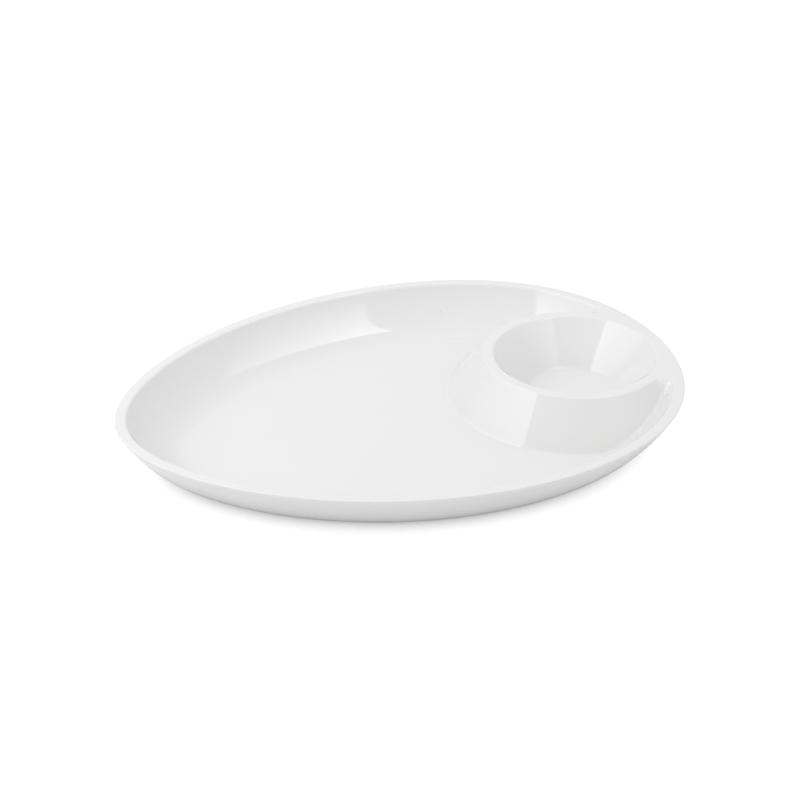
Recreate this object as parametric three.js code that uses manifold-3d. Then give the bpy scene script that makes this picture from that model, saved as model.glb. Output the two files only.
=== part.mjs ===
// Egg-shaped chip and dip server: a shallow tray with a dip bowl rising from its blunt end.
// It is one thick compression moulding in white melamine, with a glossy glaze layer moulded
// over the food side. Millimetres, +Z up. The origin is under the middle of the outline, on
// the surface that the server stands on. The sharp end points to -X and the dip bowl to +X.
import * as THREE from 'three';
import { mergeVertices } from 'three/addons/utils/BufferGeometryUtils.js';
import Module from 'manifold-3d';

const wasm = await Module();
wasm.setup();

// Egg outline: x = a cos t, y = b sin t (1 + k1 cos t + k3 cos^3 t)
const LENGTH = 380;
const BREADTH = 292;
const EGG_TAPER = 0.124;
const EGG_BLUNTNESS = 0.06;

// Heights above the surface that it stands on
const HEIGHT = 35;
const FLOOR_TOP = 6.2;
const FLOOR_UNDERSIDE = 2.2;

// Rim and walls
const RIM_WIDTH = 7;
const RIM_OUTER_CHAMFER = 1;
const EDGE_EASING = 1.2;
const OUTER_WALL_LEAN = 0.55;
const OUTER_WALL_INSET = 34;
const INNER_WALL_LEAN = 0.5;
const INNER_WALL_INSET = 38;
const FOOT_WIDTH = 4;

// Dip bowl and the cone that carries it
const BOWL_X = 125.3;
const BOWL_MOUTH_RADIUS = 56;
const BOWL_FLOOR_RADIUS = 30;
const BOWL_FLOOR_EASING = 2.4;
const BOWL_LIP_RADIUS = 63;
const CONE_FOOT_RADIUS = 87.3;
const LAND_HALF_ANGLE = 50;
const LAND_END_SLOPE = 0.8;

// Hollow under the cone
const HOLLOW_WALL = 8;
const HOLLOW_ROOF_DROP = 6;
const HOLLOW_MOUTH_RADIUS = 75;

// Layers of the food side
const GLAZE_THICKNESS = 0.5;
const LAYER_GAP = 0.3;

// Facets
const EGG_SEGMENTS = 60;
const ROUND_SEGMENTS = 40;
const WALL_STEPS = 5;
const OVERSHOOT = 2;

// A point of the egg outline, moved inwards by inset along the outline's normal
function eggPoint(turn, inset) {
  const c = Math.cos(turn);
  const s = Math.sin(turn);
  const swell = 1 + EGG_TAPER * c + EGG_BLUNTNESS * c ** 3;
  const swellRate = -s * (EGG_TAPER + 3 * EGG_BLUNTNESS * c * c);
  const dx = (-LENGTH / 2) * s;
  const dy = (BREADTH / 2) * (c * swell + s * swellRate);
  const reach = Math.hypot(dx, dy);
  return [(LENGTH / 2) * c - (inset * dy) / reach, (BREADTH / 2) * s * swell + (inset * dx) / reach];
}

function eggRing(z, inset) {
  return Array.from({ length: EGG_SEGMENTS }, (_, i) => {
    const [x, y] = eggPoint((2 * Math.PI * i) / EGG_SEGMENTS, inset);
    return [x, y, z];
  });
}

// Closed skin through rings of equal length, lowest ring first, each ring anticlockwise from above
function loft(rings) {
  const count = rings[0].length;
  const middle = (ring) => [0, 1, 2].map((axis) => ring.reduce((sum, p) => sum + p[axis], 0) / count);
  const points = [...rings.flat(), middle(rings[0]), middle(rings.at(-1))];
  const lowMiddle = points.length - 2;
  const highMiddle = points.length - 1;
  const topRing = (rings.length - 1) * count;
  const faces = [];
  for (let i = 0; i < count; i++) {
    const next = (i + 1) % count;
    faces.push(lowMiddle, next, i);
    faces.push(highMiddle, topRing + i, topRing + next);
    for (let r = 0; r < rings.length - 1; r++) {
      const low = r * count;
      const high = low + count;
      faces.push(low + i, low + next, high + next);
      faces.push(low + i, high + next, high + i);
    }
  }
  const geometry = new THREE.BufferGeometry();
  geometry.setAttribute('position', new THREE.Float32BufferAttribute(points.flat(), 3));
  geometry.setIndex(faces);
  return geometry;
}

// Body of revolution about the bowl's upright axis, from [radius, height] points, lowest first
function turned(profile) {
  const closed = [[0, profile[0][1]], ...profile, [0, profile.at(-1)[1]]];
  const geometry = new THREE.LatheGeometry(closed.map(([r, z]) => new THREE.Vector2(r, z)), ROUND_SEGMENTS);
  geometry.rotateX(Math.PI / 2);
  geometry.translate(BOWL_X, 0, 0);
  return geometry;
}

function toSolid(geometry) {
  const bare = geometry.clone();
  bare.deleteAttribute('normal');
  bare.deleteAttribute('uv');
  const merged = mergeVertices(bare, 1e-4);
  const mesh = new wasm.Mesh({
    numProp: 3,
    vertProperties: new Float32Array(merged.attributes.position.array),
    triVerts: new Uint32Array(merged.index.array),
  });
  return new wasm.Manifold(mesh);
}

function toMesh(name, solid, finish) {
  const { vertProperties, triVerts } = solid.getMesh();
  const geometry = new THREE.BufferGeometry();
  geometry.setAttribute('position', new THREE.BufferAttribute(vertProperties, 3));
  geometry.setIndex(new THREE.BufferAttribute(triVerts, 1));
  geometry.computeVertexNormals();
  const mesh = new THREE.Mesh(geometry, new THREE.MeshStandardMaterial(finish));
  mesh.name = name;
  return mesh;
}

// Inset of a wall at a depth below the rim: it leans in evenly, then curves in to its full inset
function wallInset(depth, lean, fullDepth, fullInset) {
  const curve = 1 - Math.sqrt(Math.max(0, 1 - (depth / fullDepth) ** 2));
  return lean * depth + (fullInset - lean * fullDepth) * curve;
}

// Depths below the rim, closer together towards the bottom, where the wall curves in
function wallDepths(fullDepth) {
  return Array.from({ length: WALL_STEPS + 1 }, (_, i) => fullDepth * Math.sin((Math.PI / 2) * (i / WALL_STEPS)));
}

// The whole outside, filled: foot, outer wall and rim, drawn in by inset all round
function outsideSolid(inset = 0) {
  const rings = wallDepths(HEIGHT)
    .slice(1)
    .map((depth) => eggRing(HEIGHT - depth, inset + wallInset(depth, OUTER_WALL_LEAN, HEIGHT, OUTER_WALL_INSET)))
    .reverse();
  rings.push(eggRing(HEIGHT - RIM_OUTER_CHAMFER, inset));
  rings.push(eggRing(HEIGHT, inset + RIM_OUTER_CHAMFER / 2));
  return toSolid(loft(rings));
}

// The tray's hollow, without the cone in it, grown by margin
function trayHollow(margin) {
  const fullDepth = HEIGHT - FLOOR_TOP;
  const wallRun = INNER_WALL_INSET - RIM_WIDTH;
  const rings = wallDepths(fullDepth)
    .filter((depth) => depth > EDGE_EASING)
    .map((depth) => {
      const inset = RIM_WIDTH + wallInset(depth, INNER_WALL_LEAN, fullDepth, wallRun);
      return eggRing(HEIGHT - depth - margin, inset - margin);
    })
    .reverse();
  const easedInset = RIM_WIDTH + INNER_WALL_LEAN * EDGE_EASING - margin;
  rings.push(eggRing(HEIGHT - EDGE_EASING - margin, easedInset));
  rings.push(eggRing(HEIGHT - margin, RIM_WIDTH - EDGE_EASING - margin));
  rings.push(eggRing(HEIGHT + OVERSHOOT, RIM_WIDTH - EDGE_EASING - margin));
  return toSolid(loft(rings));
}

// Radius of the cone's outside and of the bowl's inside at a height
function coneRadius(z) {
  return BOWL_LIP_RADIUS + ((CONE_FOOT_RADIUS - BOWL_LIP_RADIUS) * (HEIGHT - z)) / (HEIGHT - FLOOR_TOP);
}

function bowlRadius(z) {
  return BOWL_MOUTH_RADIUS - ((BOWL_MOUTH_RADIUS - BOWL_FLOOR_RADIUS) * (HEIGHT - z)) / (HEIGHT - FLOOR_TOP);
}

// The cone round the bowl, filled, with its top edge and its foot eased, shrunk by margin
function coneSolid(margin) {
  const foot = FLOOR_TOP - margin;
  const lip = HEIGHT - margin;
  return toSolid(turned([
    [coneRadius(FLOOR_TOP) + EDGE_EASING - margin, foot - OVERSHOOT],
    [coneRadius(FLOOR_TOP) + EDGE_EASING - margin, foot],
    [coneRadius(FLOOR_TOP + EDGE_EASING) - margin, foot + EDGE_EASING],
    [coneRadius(HEIGHT - EDGE_EASING) - margin, lip - EDGE_EASING],
    [coneRadius(HEIGHT) - EDGE_EASING - margin, lip],
    [coneRadius(HEIGHT) - EDGE_EASING - margin, HEIGHT + 2 * OVERSHOOT],
  ]));
}

// The flat land between the bowl and the blunt end, filled down to the floor, where no tray is hollowed
function landSolid(margin) {
  const angle = THREE.MathUtils.degToRad(LAND_HALF_ANGLE);
  const reach = LENGTH / 2;
  const wedge = (z) => {
    const corner = BOWL_X - (HEIGHT - z) * LAND_END_SLOPE + margin / Math.sin(angle);
    return [
      [corner, 0, z],
      [corner + reach * Math.cos(angle), -reach * Math.sin(angle), z],
      [corner + reach * Math.cos(angle), reach * Math.sin(angle), z],
    ];
  };
  return toSolid(loft([wedge(0), wedge(HEIGHT + 2 * OVERSHOOT)]));
}

// The dip bowl's hollow, grown by margin
function bowlHollow(margin) {
  const lip = HEIGHT - margin;
  return toSolid(turned([
    [bowlRadius(FLOOR_TOP) - BOWL_FLOOR_EASING + margin, FLOOR_TOP - margin],
    [bowlRadius(FLOOR_TOP + BOWL_FLOOR_EASING) + margin, FLOOR_TOP + BOWL_FLOOR_EASING - margin],
    [bowlRadius(HEIGHT - EDGE_EASING) + margin, lip - EDGE_EASING],
    [bowlRadius(HEIGHT) + EDGE_EASING + margin, lip],
    [bowlRadius(HEIGHT) + EDGE_EASING + margin, HEIGHT + OVERSHOOT],
  ]));
}

// Everything above the food side, when the food side is sunk by margin
function aboveFoodSide(margin) {
  const overRim = loft([eggRing(HEIGHT - margin, -OVERSHOOT), eggRing(HEIGHT + OVERSHOOT, -OVERSHOOT)]);
  const tray = trayHollow(margin)
    .subtract(coneSolid(margin))
    .subtract(landSolid(margin));
  return tray.add(bowlHollow(margin)).add(toSolid(overRim));
}

// Upright egg-shaped block as wide as the space inside the foot ring, from below the foot to a height
function insideFootRing(top) {
  const inset = OUTER_WALL_INSET + FOOT_WIDTH;
  return toSolid(loft([eggRing(-OVERSHOOT, inset), eggRing(top, inset)]));
}

// Ring-shaped hollow under the cone, open below. It ends where the bowl joins the outer wall, and stays
// inside the foot ring, so that the mould's core can draw straight down.
function hollowUnderCone() {
  const roof = HEIGHT - HOLLOW_ROOF_DROP;
  const mouthTop = HEIGHT - ((HOLLOW_MOUTH_RADIUS + HOLLOW_WALL - BOWL_LIP_RADIUS) * (HEIGHT - FLOOR_TOP))
    / (CONE_FOOT_RADIUS - BOWL_LIP_RADIUS);
  const underCone = toSolid(turned([
    [HOLLOW_MOUTH_RADIUS, 0],
    [HOLLOW_MOUTH_RADIUS, mouthTop],
    [coneRadius(roof) - HOLLOW_WALL, roof],
  ]));
  const bowlOutside = toSolid(turned([
    [BOWL_FLOOR_RADIUS + HOLLOW_WALL, -OVERSHOOT],
    [BOWL_FLOOR_RADIUS + HOLLOW_WALL, FLOOR_TOP],
    [bowlRadius(HEIGHT) + HOLLOW_WALL, HEIGHT],
  ]));
  return underCone.intersect(outsideSolid(HOLLOW_WALL)).intersect(insideFootRing(HEIGHT)).subtract(bowlOutside);
}

const glaze = outsideSolid()
  .intersect(aboveFoodSide(GLAZE_THICKNESS))
  .subtract(aboveFoodSide(0));

const body = outsideSolid()
  .subtract(aboveFoodSide(GLAZE_THICKNESS + LAYER_GAP))
  .subtract(insideFootRing(FLOOR_UNDERSIDE))
  .subtract(hollowUnderCone());

const server = new THREE.Group();
server.add(toMesh('body_moulding', body, { color: 0xf1f1ef, roughness: 0.35, metalness: 0 }));
server.add(toMesh('glaze_overlay', glaze, { color: 0xf7f7f5, roughness: 0.08, metalness: 0 }));

export default server;
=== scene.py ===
import math

import bpy
import numpy as np
from mathutils import Matrix, Vector


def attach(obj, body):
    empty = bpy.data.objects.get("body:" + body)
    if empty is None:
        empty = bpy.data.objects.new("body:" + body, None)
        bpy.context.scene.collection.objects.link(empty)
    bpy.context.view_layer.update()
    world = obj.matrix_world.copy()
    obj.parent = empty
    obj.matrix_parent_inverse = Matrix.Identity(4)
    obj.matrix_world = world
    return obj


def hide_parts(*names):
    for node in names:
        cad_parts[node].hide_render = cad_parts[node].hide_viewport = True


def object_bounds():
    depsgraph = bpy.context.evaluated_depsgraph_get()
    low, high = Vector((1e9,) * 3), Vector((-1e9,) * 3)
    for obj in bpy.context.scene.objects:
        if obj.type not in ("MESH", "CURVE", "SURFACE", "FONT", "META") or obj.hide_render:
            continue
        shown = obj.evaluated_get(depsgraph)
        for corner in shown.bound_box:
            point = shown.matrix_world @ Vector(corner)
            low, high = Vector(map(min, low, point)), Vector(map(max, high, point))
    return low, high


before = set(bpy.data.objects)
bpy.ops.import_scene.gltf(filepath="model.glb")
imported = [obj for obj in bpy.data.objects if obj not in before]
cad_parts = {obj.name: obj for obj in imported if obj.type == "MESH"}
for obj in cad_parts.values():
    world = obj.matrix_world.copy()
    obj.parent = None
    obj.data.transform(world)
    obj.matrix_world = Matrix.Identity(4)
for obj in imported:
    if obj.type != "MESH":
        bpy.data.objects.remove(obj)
cad_low, cad_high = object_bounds()

# The view is from the server's long side, a little to the left of its middle and half-way up,
# from just over a metre away with a portrait lens, so the far rim is hardly smaller than the near one.
server_length = cad_high.x - cad_low.x
server_height = cad_high.z
view_azimuth = math.radians(-18.36)
view_elevation = math.radians(29.48)
view_lean = math.radians(-0.54)
view_distance = 2.8 * server_length
view_lens = 73.6
sensor_width = 36
sees_as_far_as = 50
view_target = Vector((-0.0085, -0.0224, server_height))
view_back = Vector((
    math.sin(view_azimuth) * math.cos(view_elevation),
    -math.cos(view_azimuth) * math.cos(view_elevation),
    math.sin(view_elevation),
))
bpy.ops.object.camera_add(location=view_target + view_back * view_distance)
camera = bpy.context.object
camera.name = "view_camera"
camera.data.lens = view_lens
camera.data.sensor_width = sensor_width
camera.data.clip_end = sees_as_far_as
camera.rotation_mode = "QUATERNION"
aim = (-view_back).to_track_quat("-Z", "Y")
camera.rotation_quaternion = aim @ Matrix.Rotation(view_lean, 3, "Z").to_quaternion()
bpy.context.scene.camera = camera
bpy.context.scene.view_settings.view_transform = "Standard"

# The table is a wide sheet of white board. The camera sees it as a glow that runs out to clean white, with a
# painted shadow only where the server closes it in: that shade is set by how open each spot is, and isn't
# cast by the lamps. The server itself sees ordinary white board, which lights it from below.
table_size = 12
board_white = 0.93
shade_reach = 0.12
shade_rays = 16
open_gain = 2.7
closed_in_white = 0.25
whitest = 1.04
bpy.ops.mesh.primitive_plane_add(size=table_size)
table = bpy.context.object
table.name = "studio_table"
board = bpy.data.materials.new("studio_board")
board.use_nodes = True
nodes, links = board.node_tree.nodes, board.node_tree.links
nodes.remove(nodes["Principled BSDF"])
plain_board = nodes.new("ShaderNodeBsdfDiffuse")
plain_board.inputs["Color"].default_value = (board_white, board_white, board_white, 1)
open_sky = nodes.new("ShaderNodeAmbientOcclusion")
open_sky.samples = shade_rays
open_sky.inputs["Distance"].default_value = shade_reach
exposed = nodes.new("ShaderNodeMath")
exposed.operation = "MULTIPLY_ADD"
exposed.inputs[1].default_value = open_gain
exposed.inputs[2].default_value = closed_in_white
links.new(open_sky.outputs["AO"], exposed.inputs[0])
run_out = nodes.new("ShaderNodeMath")
run_out.operation = "MINIMUM"
run_out.inputs[1].default_value = whitest
links.new(exposed.outputs["Value"], run_out.inputs[0])
# Painted shadow: the camera sees the table as this glow, dimmed by the occlusion value where the server
# closes it in.
painted_shadow_glow = nodes.new("ShaderNodeEmission")
links.new(run_out.outputs["Value"], painted_shadow_glow.inputs["Strength"])
ray = nodes.new("ShaderNodeLightPath")
either_board = nodes.new("ShaderNodeMixShader")
links.new(ray.outputs["Is Camera Ray"], either_board.inputs["Fac"])
links.new(plain_board.outputs["BSDF"], either_board.inputs[1])
links.new(painted_shadow_glow.outputs["Emission"], either_board.inputs[2])
links.new(either_board.outputs["Shader"], nodes["Material Output"].inputs["Surface"])
table.data.materials.append(board)

# The room is a pale tent round the table. It glows evenly, a little more overhead, and is held at plain
# white or brighter where the camera sees past the table's edge.
tent_side_glow = 0.775
tent_top_glow = 0.82
overhead_from = 0.3
room = bpy.data.worlds.new("studio_room")
bpy.context.scene.world = room
room.use_nodes = True
nodes, links = room.node_tree.nodes, room.node_tree.links
view_side = Vector((math.cos(view_azimuth), math.sin(view_azimuth), 0))
view_front = Vector((math.sin(view_azimuth), -math.cos(view_azimuth), 0))
look = nodes.new("ShaderNodeTexCoord")
facing_up = nodes.new("ShaderNodeSeparateXYZ")
links.new(look.outputs["Generated"], facing_up.inputs["Vector"])
overhead = nodes.new("ShaderNodeMapRange")
overhead.inputs["From Min"].default_value = overhead_from
overhead.inputs["To Min"].default_value = tent_side_glow
overhead.inputs["To Max"].default_value = tent_top_glow
links.new(facing_up.outputs["Z"], overhead.inputs["Value"])
glow = overhead.outputs["Result"]
ray = nodes.new("ShaderNodeLightPath")
shown = nodes.new("ShaderNodeMath")
shown.operation = "MAXIMUM"
links.new(glow, shown.inputs[0])
links.new(ray.outputs["Is Camera Ray"], shown.inputs[1])
links.new(shown.outputs["Value"], nodes["Background"].inputs["Strength"])
nodes["Background"].inputs["Color"].default_value = (1, 1, 1, 1)


# Two softboxes hang left and right of the camera in mirrored places, close in, sloping up and back over
# the table. Each is brightest along the edge nearest the camera and fades away from it. Their places are
# given as metres to the side, to the front and up.
box_corner = Vector((0.515, 0.543, 0.585))
box_up_edge = Vector((-0.286, -0.78, 0.56))
box_outward = Vector((0.659, 0.116, 0.743))
fade_power = 2


def hang_softbox(name, side, width, height, glow, across_fade, upward_fade):
    """Hangs a softbox on one side (1 right, -1 left) by the lower end of its edge nearest the camera."""
    axes = Matrix((view_side * side, view_front, Vector((0, 0, 1)))).transposed()
    corner = axes @ box_corner
    up_edge = (axes @ box_up_edge).normalized()
    outward = (axes @ box_outward).normalized()
    across = up_edge.cross(outward).normalized()
    outward = across.cross(up_edge)
    away = across * side
    bpy.ops.object.light_add(type="AREA")
    box = bpy.context.object
    box.name = name
    turn = Matrix((across, up_edge, outward)).transposed().to_4x4()
    box.matrix_world = Matrix.Translation(corner + away * width / 2 + up_edge * height / 2) @ turn
    box.data.shape = "RECTANGLE"
    box.data.size = width
    box.data.size_y = height
    box.data.energy = glow * math.pi * width * height
    box.visible_camera = False
    box.data.use_nodes = True
    nodes, links = box.data.node_tree.nodes, box.data.node_tree.links
    place = nodes.new("ShaderNodeNewGeometry")
    sides = nodes.new("ShaderNodeSeparateXYZ")
    links.new(place.outputs["Parametric"], sides.inputs["Vector"])
    dimmed = []
    for axis, fade in (("X", across_fade[::side]), ("Y", upward_fade)):
        fall = nodes.new("ShaderNodeMapRange")
        links.new(sides.outputs[axis], fall.inputs["Value"])
        fall.inputs["To Min"].default_value, fall.inputs["To Max"].default_value = fade
        dimmed.append(fall.outputs["Result"])
    falloff = nodes.new("ShaderNodeMath")
    falloff.operation = "POWER"
    falloff.inputs[1].default_value = fade_power
    links.new(dimmed[0], falloff.inputs[0])
    both = nodes.new("ShaderNodeMath")
    both.operation = "MULTIPLY"
    links.new(falloff.outputs["Value"], both.inputs[0])
    links.new(dimmed[1], both.inputs[1])
    links.new(both.outputs["Value"], nodes["Emission"].inputs["Strength"])


hang_softbox(
    "softbox_right", side=1, width=0.45, height=0.90, glow=2.3, across_fade=(1, 0.45), upward_fade=(0.0, 1.35)
)
hang_softbox(
    "softbox_left", side=-1, width=1.10, height=0.90, glow=1.85, across_fade=(1, 0.25), upward_fade=(0.8, 1.6)
)

# glaze_overlay: the glossy melamine layer that is moulded over the whole food side in the last stroke of
# the press. It covers the tray, the cone, the dip bowl and the flat rim, and ends at the widest point of
# the rim, where the two halves of the mould meet. It is drawn thicker here than the real layer.
glaze_thickness = 0.0005
bowl_x = 0.1253
wall_overrun = 0.0004
bowl_mouth = 0.056
bowl_floor = 0.030
bowl_lip = 0.063
cone_foot = 0.0873
tray_depth = 0.0288
rim_width = 0.007
rim_radius = 0.0008
wall_lean = 0.5
wall_inset = 0.0363
edge_radius = 0.0022
bowl_floor_radius = 0.006
valley_radius = 0.0022
land_half_angle = math.radians(52.5)
land_end_slope = 1.4
land_end_blend = 0.005
columns = 480
egg_fullness = 0.124
egg_shoulder = 0.06


def egg_swell(turn):
    """How much fuller than an ellipse the outline is: fuller at the blunt end, leaner at the sharp end."""
    c = np.cos(turn)
    return 1 + egg_fullness * c + egg_shoulder * c ** 3


half_length = server_length / 2
quarter_turn = np.linspace(0, math.pi, 4001)
half_breadth = cad_high.y / (np.sin(quarter_turn) * egg_swell(quarter_turn)).max()


def egg_normal(turn):
    """Unit vector square to the egg outline, pointing into the tray."""
    step = 1e-5
    along = half_length * (np.cos(turn + step) - np.cos(turn - step))
    across = half_breadth * (
        np.sin(turn + step) * egg_swell(turn + step) - np.sin(turn - step) * egg_swell(turn - step)
    )
    reach = np.hypot(along, across)
    return -across / reach, along / reach


def egg_point(turn, inset):
    """A point of the egg outline, moved in by inset."""
    inward_x, inward_y = egg_normal(turn)
    x = half_length * np.cos(turn)
    y = half_breadth * np.sin(turn) * egg_swell(turn)
    return x + inset * inward_x, y + inset * inward_y


def even_turns(count):
    """Turns that set count points at equal steps along the outline."""
    fine = np.linspace(0, 2 * math.pi, 20001)
    x, y = egg_point(fine, 0)
    run = np.concatenate([[0], np.cumsum(np.hypot(np.diff(x), np.diff(y)))])
    return np.interp(np.arange(count) / count * run[-1], run, fine)


def inset_at(x, y):
    """How far points lie inside the outline, square to the outline point nearest to each."""
    turn = even_turns(1440)
    outline_x, outline_y = egg_point(turn, 0)
    inward_x, inward_y = egg_normal(turn)
    inset = np.empty(x.shape)
    for row in range(x.shape[0]):
        gap_x = x[row][:, None] - outline_x
        gap_y = y[row][:, None] - outline_y
        nearest = np.hypot(gap_x, gap_y).argmin(axis=1)
        here = np.arange(x.shape[1])
        inset[row] = gap_x[here, nearest] * inward_x[nearest] + gap_y[here, nearest] * inward_y[nearest]
    return inset


def lean_in(depth, lean, full_depth, full_inset):
    """Inset of a wall at a depth: it leans in evenly, then curves in to meet the level at full depth."""
    share = np.clip(depth / full_depth, 0, 1)
    return lean * depth + (full_inset - lean * full_depth) * (1 - np.sqrt(1 - share ** 2))


def rounded_corner(run, slope, radius):
    """Drop from level ground (run below 0) on to a slope (run above 0), with the corner rounded off."""
    turn = np.arctan(slope)
    tangent = radius * np.tan(turn / 2)
    arc = radius - np.sqrt(np.clip(radius ** 2 - (run + tangent) ** 2, 0, None))
    past = run > tangent * np.cos(turn)
    return np.where(run < -tangent, 0, np.where(past, slope * run, arc))


def blended_lower(a, b, reach):
    """The lower of two heights, with the crease between them filled within reach."""
    share = np.clip(0.5 + 0.5 * (b - a) / reach, 0, 1)
    return b * (1 - share) + a * share - reach * share * (1 - share)


cone_slope = tray_depth / (cone_foot - bowl_lip)
bowl_slope = tray_depth / (bowl_mouth - bowl_floor)
wall_depths = np.linspace(0, tray_depth, 400)
wall_insets = rim_width + lean_in(wall_depths, wall_lean, tray_depth + wall_overrun, wall_inset)


def wall_drop(inset):
    """Depth of the wall at an inset. Over the flat rim the wall's slope is carried on above the rim."""
    over_rim = (inset - rim_width) / wall_lean
    return np.where(inset < rim_width, over_rim, np.interp(inset, wall_insets, wall_depths))


def wall_slope(inset):
    """How steeply the wall falls at an inset."""
    step = 0.0002
    return (wall_drop(inset + step) - wall_drop(inset - step)) / (2 * step)


def bowl_drop(radius):
    """Depth of the dip bowl at a distance from its axis, with its lip and floor corners rounded."""
    run = bowl_mouth - radius
    upper = rounded_corner(run, bowl_slope, edge_radius)
    lower = tray_depth - rounded_corner(bowl_mouth - bowl_floor - run, bowl_slope, bowl_floor_radius)
    return np.where(run < (bowl_mouth - bowl_floor) / 2, upper, lower)


def tray_drop(x, y, inset):
    """Depth of the tray: cone, wall and floor, and the level land that joins the cone to the blunt rim."""
    cone = (np.hypot(x - bowl_x, y) - bowl_lip) * cone_slope
    wall = wall_drop(inset)
    steepness = cone_slope + wall_slope(inset)
    drop = blended_lower(cone, wall, np.maximum(valley_radius * steepness ** 2 / 2, 1e-5))
    off_land = np.abs(y) * math.cos(land_half_angle) - (x - bowl_x) * math.sin(land_half_angle)
    drop = blended_lower(drop, off_land * land_end_slope, land_end_blend)
    wall_share = np.clip((cone - wall) / 0.01 + 0.5, 0, 1)
    slope = cone_slope + (1 / wall_lean - cone_slope) * wall_share
    return np.where(drop > tray_depth / 2, drop, rounded_corner(drop / slope, slope, edge_radius))


def food_height(x, y, inset):
    """Height of the food side, in the bowl or round it."""
    radius = np.hypot(x - bowl_x, y)
    in_bowl = radius < (bowl_mouth + bowl_lip) / 2
    return server_height - np.where(in_bowl, bowl_drop(radius), tray_drop(x, y, inset))


def valley_insets(turn):
    """Inset of the valley between the cone and the tray's wall, where the wall line meets the cone line."""
    low = np.full(turn.shape, rim_radius)
    high = np.full(turn.shape, rim_width + wall_inset)
    for _ in range(40):
        middle = (low + high) / 2
        x, y = egg_point(turn, middle)
        on_cone = (np.hypot(x - bowl_x, y) - bowl_lip) * cone_slope > wall_drop(middle)
        low = np.where(on_cone, middle, low)
        high = np.where(on_cone, high, middle)
    return (low + high) / 2


def drawn_in(marks, kept, share, end):
    """Marks for each column, kept as they are up to kept and drawn in beyond it to finish at its end."""
    start, last = marks[0], marks[-1]
    hinge = np.minimum(kept, start + (end - start) * share)[:, None]
    near = start + (marks - start) * (hinge - start) / (kept - start)
    far = hinge + (marks - kept) * (end[:, None] - hinge) / (last - kept)
    return np.where(marks <= kept, near, far)


# Rows of the mesh crowd together where the surface turns: at the bowl's floor and lip, the cone's foot
# and the inner edge of the rim.
turns = even_turns(columns)
valley_inset = valley_insets(turns)
valley_x, valley_y = egg_point(turns, valley_inset)
bearings = np.arctan2(valley_y, valley_x - bowl_x)
bowl_rows = np.concatenate([
    [0, 0.004, 0.010, 0.016, 0.021, 0.0245],
    np.linspace(bowl_floor - 0.0035, bowl_floor + 0.0035, 12),
    np.linspace(0.036, 0.053, 8),
    np.linspace(bowl_mouth - 0.0012, bowl_mouth + 0.0013, 11),
])
cone_rows = np.concatenate([
    np.linspace(0.0577, 0.0610, 4),
    np.linspace(bowl_lip - 0.0014, bowl_lip + 0.0011, 11),
    np.linspace(0.0650, 0.0830, 12),
    np.linspace(cone_foot - 0.0028, cone_foot + 0.0032, 12),
])
wall_rows = np.concatenate([
    np.linspace(rim_radius, 0.0048, 4),
    np.linspace(rim_width - 0.0017, rim_width + 0.0012, 12),
    np.linspace(0.0088, 0.024, 14),
    np.linspace(0.0255, 0.0385, 11),
    np.linspace(0.0388, 0.0402, 6),
])
valley_half = 0.002
cone_kept = 0.065
wall_kept = 0.010
kept_share = 0.75
valley_radii = np.hypot(valley_x - bowl_x, valley_y)
cone_end = np.maximum(valley_radii - valley_half, (valley_radii + cone_rows[0]) / 2)
cone_end = np.minimum(cone_rows[-1], cone_end)
wall_end = np.maximum(valley_inset - valley_half, (valley_inset + rim_radius) / 2)
wall_end = np.minimum(wall_rows[-1], wall_end)
cone_radii = drawn_in(cone_rows, cone_kept, kept_share, cone_end)
wall_places = drawn_in(wall_rows, wall_kept, kept_share, wall_end)
bowl_radii = np.broadcast_to(bowl_rows, (columns, bowl_rows.size))
radii = np.concatenate([bowl_radii, cone_radii], axis=1).T
round_x = bowl_x + radii * np.cos(bearings)
round_y = radii * np.sin(bearings)
wall_x, wall_y = egg_point(turns, wall_places.T[::-1])
shares = (np.arange(1, 16) / 16)[:, None]
floor_x = round_x[-1] + (wall_x[0] - round_x[-1]) * shares
floor_y = round_y[-1] + (wall_y[0] - round_y[-1]) * shares
food_x = np.concatenate([round_x, floor_x, wall_x])
food_y = np.concatenate([round_y, floor_y, wall_y])
inner_insets = inset_at(np.concatenate([round_x, floor_x]), np.concatenate([round_y, floor_y]))
insets = np.concatenate([inner_insets, wall_places.T[::-1]])
food_rings = np.stack([food_x, food_y, food_height(food_x, food_y, insets)], axis=-1)


def egg_rings(profile):
    """Rings that follow the egg outline, from (inset, height) pairs. An inset may differ by column."""
    rings = []
    for inset, height in profile:
        x, y = egg_point(turns, inset)
        rings.append(np.stack([x, y, np.broadcast_to(height, x.shape)], axis=-1))
    return np.array(rings)


def shape_skin(name, rings):
    """Lays a grid over rings of points, closes its seam and poles, and turns its faces outwards."""
    bpy.ops.object.select_all(action="DESELECT")
    bpy.ops.mesh.primitive_grid_add(x_subdivisions=rings.shape[1], y_subdivisions=rings.shape[0] - 1)
    piece = bpy.context.object
    piece.name = name
    wrapped = np.concatenate([rings, rings[:, :1]], axis=1)
    piece.data.vertices.foreach_set("co", wrapped.astype(np.float32).ravel())
    piece.data.update()
    bpy.ops.object.mode_set(mode="EDIT")
    bpy.ops.mesh.select_all(action="SELECT")
    bpy.ops.mesh.remove_doubles(threshold=1e-6)
    bpy.ops.mesh.normals_make_consistent(inside=False)
    bpy.ops.object.mode_set(mode="OBJECT")
    return piece


rim_turns = np.linspace(math.pi / 2, 0, 7)[1:]
parting_height = server_height - rim_radius
rim_top = egg_rings([
    (rim_radius * (1 - math.cos(turn)), parting_height + rim_radius * math.sin(turn)) for turn in rim_turns
])
glaze_rings = np.concatenate([food_rings, rim_top])
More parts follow.
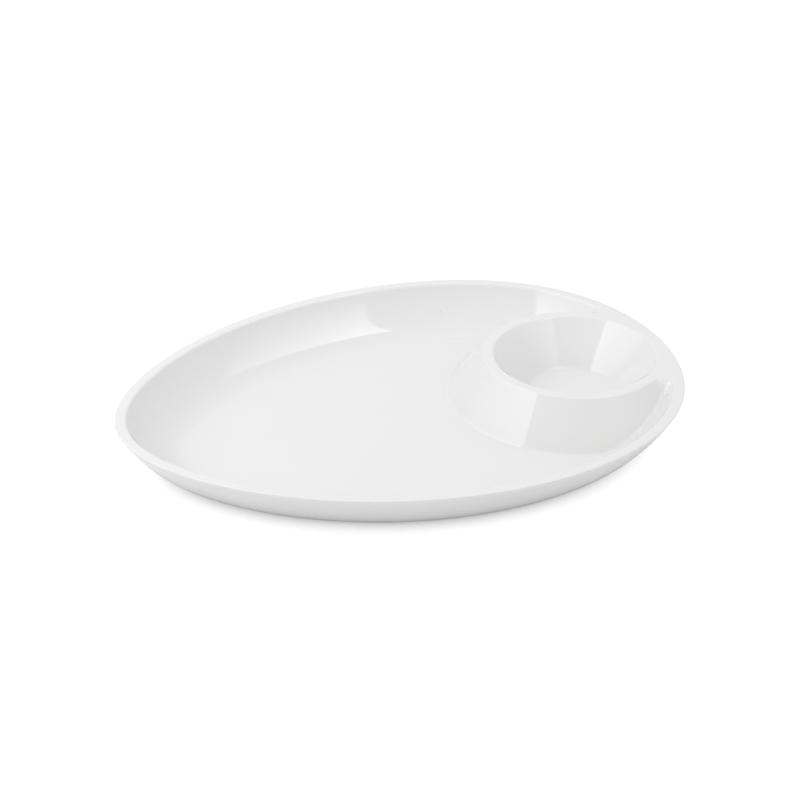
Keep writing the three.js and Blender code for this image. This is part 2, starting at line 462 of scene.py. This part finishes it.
# The glaze's hidden side is every third row, moved in square to the food side. The row at the bowl's
# middle has no width to take a direction from, so it is told to face up.
row_run = np.gradient(glaze_rings, axis=0)
column_run = np.roll(glaze_rings, -1, axis=1) - np.roll(glaze_rings, 1, axis=1)
facing = np.cross(row_run, column_run)
facing[0] = (0, 0, 1)
facing /= np.linalg.norm(facing, axis=-1, keepdims=True)
hidden_rows = [*range(0, len(glaze_rings) - 1, 3), len(glaze_rings) - 1]
glaze_under = glaze_rings[hidden_rows] - facing[hidden_rows] * glaze_thickness
glaze = shape_skin("glaze_overlay_fine", np.concatenate([glaze_rings, glaze_under[::-1]]))
bpy.ops.object.shade_smooth_by_angle(angle=math.radians(50))
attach(glaze, "root")
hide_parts("glaze_overlay")

# Pressed melamine is never quite even: the surface ripples very slightly, the gloss and the white drift
# a little, a few dark specks are moulded in, and use leaves fine hairlines that only dull the shine.
finish = bpy.data.node_groups.new("pressed_melamine", "ShaderNodeTree")
for name, kind in (
    ("White", "NodeSocketColor"),
    ("Shine Roughness", "NodeSocketFloat"),
    ("Ripple", "NodeSocketFloat"),
    ("Specks", "NodeSocketFloat"),
    ("Hairlines", "NodeSocketFloat"),
):
    finish.interface.new_socket(name, in_out="INPUT", socket_type=kind)
for name, kind in (
    ("Colour", "NodeSocketColor"),
    ("Roughness", "NodeSocketFloat"),
    ("Height", "NodeSocketFloat"),
):
    finish.interface.new_socket(name, in_out="OUTPUT", socket_type=kind)
nodes, links = finish.nodes, finish.links
given = nodes.new("NodeGroupInput").outputs
result = nodes.new("NodeGroupOutput").inputs
place = nodes.new("ShaderNodeTexCoord").outputs["Object"]


def finish_noise(scale, detail, stretch=(1, 1, 1), turn=0.0):
    """Noise over the piece in metres, stretched along an axis when a stretch is given."""
    mapping = nodes.new("ShaderNodeMapping")
    mapping.inputs["Scale"].default_value = stretch
    mapping.inputs["Rotation"].default_value = (0, 0, turn)
    links.new(place, mapping.inputs["Vector"])
    noise = nodes.new("ShaderNodeTexNoise")
    noise.inputs["Scale"].default_value = scale
    noise.inputs["Detail"].default_value = detail
    links.new(mapping.outputs["Vector"], noise.inputs["Vector"])
    return noise.outputs["Fac"]


def finish_range(value, low, high, to_low, to_high):
    """Maps a value from one range to another and holds it at the ends."""
    mapped = nodes.new("ShaderNodeMapRange")
    mapped.inputs["From Min"].default_value = low
    mapped.inputs["From Max"].default_value = high
    mapped.inputs["To Min"].default_value = to_low
    mapped.inputs["To Max"].default_value = to_high
    links.new(value, mapped.inputs["Value"])
    return mapped.outputs["Result"]


def finish_sum(operation, first, second=None, third=None):
    """Joins values with one arithmetic step."""
    step = nodes.new("ShaderNodeMath")
    step.operation = operation
    for socket, value in zip(step.inputs, (first, second, third)):
        if isinstance(value, (int, float)):
            socket.default_value = value
        elif value is not None:
            links.new(value, socket)
    return step.outputs["Value"]


def finish_tint(blend, share, base, tint):
    """Mixes a tint over a colour."""
    mix = nodes.new("ShaderNodeMix")
    mix.data_type = "RGBA"
    mix.blend_type = blend
    links.new(share, mix.inputs["Factor"])
    links.new(base, mix.inputs["A"])
    mix.inputs["B"].default_value = tint
    return mix.outputs["Result"]


drift_tint = (0.985, 0.983, 0.975, 1)
cloud_tint = (0.988, 0.988, 0.99, 1)
grain_tint = (0.985, 0.985, 0.985, 1)
speck_tint = (0.42, 0.40, 0.37, 1)
specks_per_metre = 55
speck_rarity = 0.62
ripple_height = 0.00006
cloud_height = 0.000008
peel_height = 0.0000006
hairline_height = -0.0000004
speck_height = -0.000004
broad_drift = finish_noise(14, 2)
cloud = finish_noise(60, 4)
grain = finish_noise(1400, 3)
drift_share = finish_range(broad_drift, 0.3, 0.7, 0, 0.5)
colour = finish_tint("MULTIPLY", drift_share, given["White"], drift_tint)
colour = finish_tint("MULTIPLY", finish_range(cloud, 0.35, 0.75, 0, 0.6), colour, cloud_tint)
colour = finish_tint("MULTIPLY", finish_range(grain, 0.4, 0.7, 0, 0.5), colour, grain_tint)
speck_cells = nodes.new("ShaderNodeTexVoronoi")
speck_cells.inputs["Scale"].default_value = specks_per_metre
links.new(place, speck_cells.inputs["Vector"])
speck_pick = nodes.new("ShaderNodeSeparateColor")
links.new(speck_cells.outputs["Color"], speck_pick.inputs["Color"])
is_speck = finish_sum("GREATER_THAN", speck_pick.outputs["Red"], speck_rarity)
speck_size = finish_range(speck_pick.outputs["Green"], 0, 1, 0.016, 0.034)
speck_depth = finish_sum("DIVIDE", speck_cells.outputs["Distance"], speck_size)
speck = finish_sum("MULTIPLY", finish_range(speck_depth, 0.5, 1, 1, 0), is_speck)
speck = finish_sum("MULTIPLY", speck, given["Specks"])
colour = finish_tint("MIX", speck, colour, speck_tint)
links.new(colour, result["Colour"])
hairline_a = finish_range(finish_noise(40, 2, (1, 38, 1), 0.5), 0.66, 0.74, 0, 1)
hairline_b = finish_range(finish_noise(40, 2, (36, 1, 1), -0.35), 0.67, 0.75, 0, 1)
hairlines = finish_sum("MULTIPLY", finish_sum("MAXIMUM", hairline_a, hairline_b), given["Hairlines"])
dulling = finish_sum("MULTIPLY", hairlines, finish_range(cloud, 0.4, 0.65, 0, 0.10))
shine = finish_sum("MULTIPLY", given["Shine Roughness"], finish_range(cloud, 0.3, 0.7, 0.8, 1.25))
shine = finish_sum("MULTIPLY", shine, finish_range(grain, 0.3, 0.7, 0.85, 1.15))
links.new(finish_sum("ADD", shine, dulling), result["Roughness"])
cloud_relief = finish_sum("MULTIPLY", cloud, cloud_height)
ripple = finish_sum("MULTIPLY_ADD", finish_noise(28, 1), ripple_height, cloud_relief)
ripple = finish_sum("MULTIPLY", ripple, given["Ripple"])
peel = finish_sum("MULTIPLY_ADD", finish_noise(420, 2), peel_height, ripple)
height = finish_sum("MULTIPLY_ADD", hairlines, hairline_height, peel)
links.new(finish_sum("MULTIPLY_ADD", speck, speck_height, height), result["Height"])

glaze_white = 0.797
glaze_roughness = 0.045
melamine_ior = 1.6
white = bpy.data.materials.new("melamine_glaze")
white.use_nodes = True
nodes, links = white.node_tree.nodes, white.node_tree.links
pressed = nodes.new("ShaderNodeGroup")
pressed.node_tree = finish
pressed.inputs["White"].default_value = (glaze_white, glaze_white, glaze_white, 1)
pressed.inputs["Shine Roughness"].default_value = glaze_roughness
pressed.inputs["Ripple"].default_value = 1
pressed.inputs["Specks"].default_value = 0.8
pressed.inputs["Hairlines"].default_value = 0.6
relief = nodes.new("ShaderNodeBump")
relief.inputs["Distance"].default_value = 1
shader = nodes["Principled BSDF"]
shader.inputs["IOR"].default_value = melamine_ior
links.new(pressed.outputs["Colour"], shader.inputs["Base Color"])
links.new(pressed.outputs["Roughness"], shader.inputs["Roughness"])
links.new(pressed.outputs["Height"], relief.inputs["Height"])
links.new(relief.outputs["Normal"], shader.inputs["Normal"])
glaze.data.materials.append(white)

# body_moulding: the thick white melamine under the glaze, pressed in one shot. It shows as the outer
# wall below the parting line, the narrow foot ring that the server stands on, and the underside, which
# is hollow under the cone so that no part of the moulding is thicker than the rest.
body_gap = 0.00005
outer_lean = 0.55
foot_inset = 0.034
foot_width = 0.004
underside = 0.0022
hollow_wall = 0.008
hollow_roof = server_height - 0.006
hollow_mouth = 0.075
hollow_clear = 0.076
parting_step = 0.0004
step_height = 0.0007
hidden_top = glaze_rings[hidden_rows] - facing[hidden_rows] * (glaze_thickness + body_gap)
under_rim = [
    (parting_step, parting_height - body_gap),
    (parting_step, parting_height - step_height),
]
wall_start, wall_top = under_rim[-1]
wall_run = np.sin(np.linspace(0, math.pi / 2, 24)[1:]) * wall_top
outer_wall = [
    (wall_start + lean_in(fall, outer_lean, wall_top, foot_inset - wall_start), wall_top - fall)
    for fall in wall_run
]
foot_inside = foot_inset + foot_width
foot = [
    (foot_inset + foot_width / 2, 0),
    (foot_inside - 0.0005, 0),
    (foot_inside - 0.0001, 0.0003),
    (foot_inside, 0.001),
]
inside_x, inside_y = egg_point(turns, foot_inside)
inside_radius = np.hypot(inside_x - bowl_x, inside_y)
bearing_x = (inside_x - bowl_x) / inside_radius
bearing_y = inside_y / inside_radius
hollow_end = np.minimum(hollow_mouth, inside_radius)


def underside_height(radius):
    """Height of the underside at a distance from the bowl's axis: level, with the hollow under the cone."""
    bowl_side = server_height - tray_depth + (radius - bowl_floor - hollow_wall) * bowl_slope
    cone_side = server_height - (radius + hollow_wall - bowl_lip) * cone_slope
    roof = np.minimum(np.minimum(bowl_side, cone_side), hollow_roof)
    in_hollow = (radius > bowl_floor + hollow_wall) & (radius < hollow_end)
    return np.where(in_hollow, np.maximum(roof, underside), underside)


under_rows = np.concatenate([
    [0.0755, 0.0751, 0.0749, 0.0745],
    np.linspace(0.074, 0.0385, 24),
    [0.0381, 0.0379, 0.0375, 0.020, 0],
])
underside_rings = []
for share in np.linspace(0.02, 0.9, 8):
    radius = inside_radius - (inside_radius - np.minimum(hollow_clear, inside_radius * 0.995)) * share
    underside_rings.append((radius, underside_height(radius)))
for row in under_rows:
    radius = np.minimum(row, inside_radius * (0.98 + 0.01 * row / under_rows[0]))
    underside_rings.append((radius, underside_height(radius)))
under_part = np.array([
    np.stack([bowl_x + radius * bearing_x, radius * bearing_y, height], axis=-1)
    for radius, height in underside_rings
])
outside = egg_rings(under_rim + outer_wall + foot)
body = shape_skin("body_moulding_fine", np.concatenate([hidden_top, outside, under_part]))
bpy.ops.object.shade_smooth_by_angle(angle=math.radians(40))
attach(body, "root")
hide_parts("body_moulding")

# The same melamine without the glaze layer is a touch less glossy. The foot ring is scuffed dull and a
# little grey where it slides on tables, and inside it the face shows the mould's fine turning marks.
body_white = 0.80
body_roughness = 0.07
scuff_height = 0.0007
scuff_share = 0.6
scuff_dulling = 0.4
scuff_tint = (0.58, 0.57, 0.55, 1)
turning_pitch = 9000
turning_height = 0.0000012
moulded = bpy.data.materials.new("melamine_body")
moulded.use_nodes = True
nodes, links = moulded.node_tree.nodes, moulded.node_tree.links
pressed = nodes.new("ShaderNodeGroup")
pressed.node_tree = finish
pressed.inputs["White"].default_value = (body_white, body_white, body_white, 1)
pressed.inputs["Shine Roughness"].default_value = body_roughness
pressed.inputs["Ripple"].default_value = 1.3
pressed.inputs["Specks"].default_value = 0.9
pressed.inputs["Hairlines"].default_value = 0.8
place = nodes.new("ShaderNodeTexCoord").outputs["Object"]
above_table = nodes.new("ShaderNodeSeparateXYZ")
links.new(place, above_table.inputs["Vector"])
scuffed = finish_range(above_table.outputs["Z"], 0, scuff_height, 1, 0)
scuff_patches = finish_range(finish_noise(220, 4), 0.35, 0.65, 0.35, 1)
scuffed = finish_sum("MULTIPLY", scuffed, scuff_patches)
greyed = finish_sum("MULTIPLY", scuffed, scuff_share)
colour = finish_tint("MIX", greyed, pressed.outputs["Colour"], scuff_tint)
from_bowl = nodes.new("ShaderNodeVectorMath")
from_bowl.operation = "DISTANCE"
from_bowl.inputs[1].default_value = (bowl_x, 0, underside)
links.new(place, from_bowl.inputs[0])
turning = finish_sum("SINE", finish_sum("MULTIPLY", from_bowl.outputs["Value"], turning_pitch))
beneath = finish_range(above_table.outputs["Z"], underside + 0.0001, underside + 0.0004, 1, 0)
turning = finish_sum("MULTIPLY", finish_sum("MULTIPLY", turning, turning_height), beneath)
relief = nodes.new("ShaderNodeBump")
relief.inputs["Distance"].default_value = 1
shader = nodes["Principled BSDF"]
shader.inputs["IOR"].default_value = melamine_ior
links.new(colour, shader.inputs["Base Color"])
dulled = finish_sum("MULTIPLY_ADD", scuffed, scuff_dulling, pressed.outputs["Roughness"])
links.new(dulled, shader.inputs["Roughness"])
links.new(finish_sum("ADD", pressed.outputs["Height"], turning), relief.inputs["Height"])
links.new(relief.outputs["Normal"], shader.inputs["Normal"])
body.data.materials.append(moulded)
